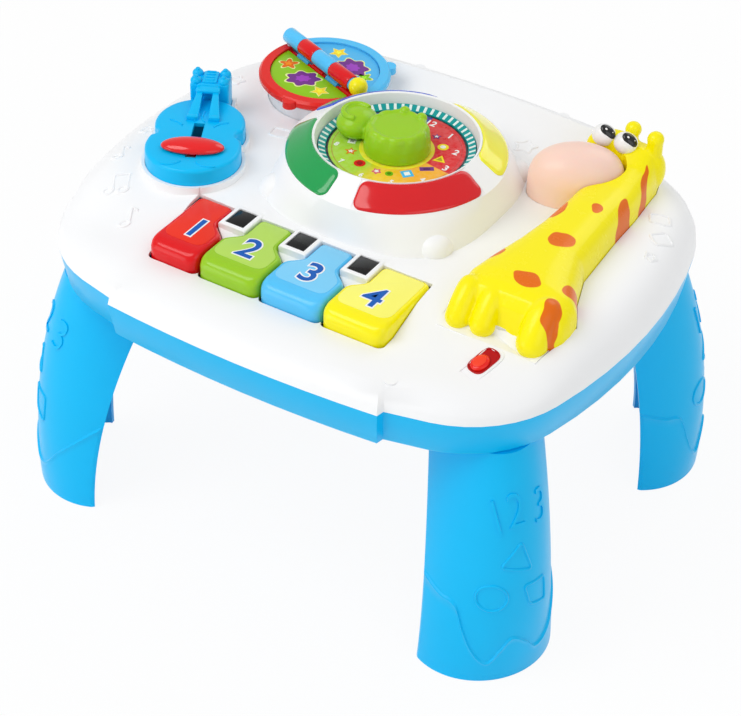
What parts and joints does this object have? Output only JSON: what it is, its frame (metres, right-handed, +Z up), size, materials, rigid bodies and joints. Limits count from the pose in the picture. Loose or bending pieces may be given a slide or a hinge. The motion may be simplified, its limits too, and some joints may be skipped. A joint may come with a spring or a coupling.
{
  "type": "musical activity table",
  "caption": "Four-legged children's activity table with a piano keyboard, a drum, a sliding guitar bar, a clock dial with a turning knob and a giraffe with a snout button.",
  "frame": {"origin": "middle of the floor area between the feet, on the floor", "axes": "+Z up, +X to the right along the long side, -Y towards the keyboard and the child"},
  "size_m": [0.36, 0.3026, 0.2423],
  "materials": {
    "white_plastic": "moulded, satin gloss",
    "blue_plastic": "moulded, gloss",
    "steel": "plain",
    "nickel_contact": "nickel plated",
    "black_plastic": "gloss",
    "cell_wrap": "shrink wrap",
    "circuit_board": "solder mask",
    "paper_cone": "pressed paper",
    "magnet_steel": "plated",
    "red_plastic": "moulded, gloss",
    "dark_red_plastic": "moulded, satin",
    "green_plastic": "moulded, gloss",
    "sky_plastic": "moulded, gloss",
    "yellow_plastic": "moulded, gloss",
    "frame_plastic": "moulded",
    "rubber_dome": "silicone",
    "lens_red": "translucent",
    "lens_yellow": "translucent",
    "lens_blue": "translucent",
    "lens_green": "translucent",
    "printed_face": "printed label",
    "tick_print": "printed label",
    "diode": "clear epoxy",
    "drum_print_green": "printed label",
    "drum_print_sky": "printed label",
    "peach_plastic": "moulded, satin",
    "eye_white": "gloss"
  },
  "bodies": {
    "table": {"base_shell": "blue_plastic", "top_shell": "white_plastic", "console_pedestal": "white_plastic", "leg_front_left": "blue_plastic", "leg_front_right": "blue_plastic", "leg_back_left": "blue_plastic", "leg_back_right": "blue_plastic", "case_screws": "steel", "battery_box": "black_plastic", "batteries": "cell_wrap", "battery_contacts": "nickel_contact", "main_board": "circuit_board", "board_chips": "black_plastic", "speaker": "paper_cone", "speaker_magnet": "magnet_steel", "speaker_clamp": "blue_plastic", "black_key_caps": "black_plastic", "key_bracket": "frame_plastic", "key_hinge_rod": "steel", "key_contact_strip": "rubber_dome", "lens_red": "lens_red", "lens_yellow": "lens_yellow", "lens_blue": "lens_blue", "lens_green": "lens_green", "dial_face": "printed_face", "tick_ring": "tick_print", "dial_encoder": "frame_plastic", "light_board": "circuit_board", "light_diodes": "diode", "drum_pedestal": "white_plastic", "drum_board": "circuit_board", "drum_domes": "rubber_dome", "drum_hinge_rod": "steel", "drumstick_shaft": "sky_plastic", "drumstick_bands": "red_plastic", "drumstick_tip": "yellow_plastic", "guitar_body": "blue_plastic", "giraffe_body": "yellow_plastic", "giraffe_eyes": "eye_white", "giraffe_pupils": "black_plastic", "snout_board": "circuit_board", "power_switch_body": "dark_red_plastic"},
    "key_1_body": {"key_1": "red_plastic"},
    "key_2_body": {"key_2": "green_plastic"},
    "key_3_body": {"key_3": "sky_plastic"},
    "key_4_body": {"key_4": "yellow_plastic"},
    "knob": {"dial_knob": "green_plastic"},
    "drum_left_pad": {"drum_left_rim": "red_plastic", "drum_left_skin": "drum_print_green"},
    "drum_right_pad": {"drum_right_rim": "sky_plastic", "drum_right_skin": "drum_print_sky"},
    "guitar_slider": {"guitar_bar": "red_plastic", "guitar_bar_keeper": "frame_plastic"},
    "snout_button": {"giraffe_snout": "peach_plastic"},
    "switch_slider": {"power_switch_button": "red_plastic"},
    "battery_cover": {"battery_door": "blue_plastic", "battery_door_screw": "steel"}
  },
  "joints": [
    {"name": "key_1_press", "type": "hinge", "parent": "table", "child": "key_1_body", "pos_m": [0, -0.049, 0.19], "axis": [1, 0, 0], "range_deg": [0, 3], "stiffness_Nm_per_rad": 0.2, "springref_deg": -6.88},
    {"name": "key_2_press", "type": "hinge", "parent": "table", "child": "key_2_body", "pos_m": [0, -0.049, 0.19], "axis": [1, 0, 0], "range_deg": [0, 3], "stiffness_Nm_per_rad": 0.2, "springref_deg": -6.88},
    {"name": "key_3_press", "type": "hinge", "parent": "table", "child": "key_3_body", "pos_m": [0, -0.049, 0.19], "axis": [1, 0, 0], "range_deg": [0, 3], "stiffness_Nm_per_rad": 0.2, "springref_deg": -6.88},
    {"name": "key_4_press", "type": "hinge", "parent": "table", "child": "key_4_body", "pos_m": [0, -0.049, 0.19], "axis": [1, 0, 0], "range_deg": [0, 3], "stiffness_Nm_per_rad": 0.2, "springref_deg": -6.88},
    {"name": "knob_turn", "type": "hinge", "parent": "table", "child": "knob", "pos_m": [0, 0.019, 0.22], "axis": [0, 0, 1], "continuous": true},
    {"name": "drum_left_press", "type": "hinge", "parent": "table", "child": "drum_left_pad", "pos_m": [-0.09037, 0.07995, 0.213], "axis": [0.9205, -0.3907, 0], "range_deg": [0, 3], "stiffness_Nm_per_rad": 0.15, "springref_deg": -8.59},
    {"name": "drum_right_press", "type": "hinge", "parent": "table", "child": "drum_right_pad", "pos_m": [-0.09037, 0.07995, 0.213], "axis": [-0.9205, 0.3907, 0], "range_deg": [0, 3], "stiffness_Nm_per_rad": 0.15, "springref_deg": -8.59},
    {"name": "guitar_bar_slide", "type": "slide", "parent": "table", "child": "guitar_slider", "axis": [-0.454, 0.891, 0], "range_m": [-0.005, 0.02]},
    {"name": "snout_press", "type": "slide", "parent": "table", "child": "snout_button", "axis": [0, 0, -1], "range_m": [0, 0.0025], "stiffness_N_per_m": 400, "springref_m": -0.003},
    {"name": "power_switch_slide", "type": "slide", "parent": "table", "child": "switch_slider", "axis": [0.281, 0.9193, 0.2756], "range_m": [0, 0.005]},
    {"name": "battery_cover_off", "type": "slide", "parent": "table", "child": "battery_cover", "axis": [0, 0, -1], "range_m": [0, 0.03]}
  ]
}
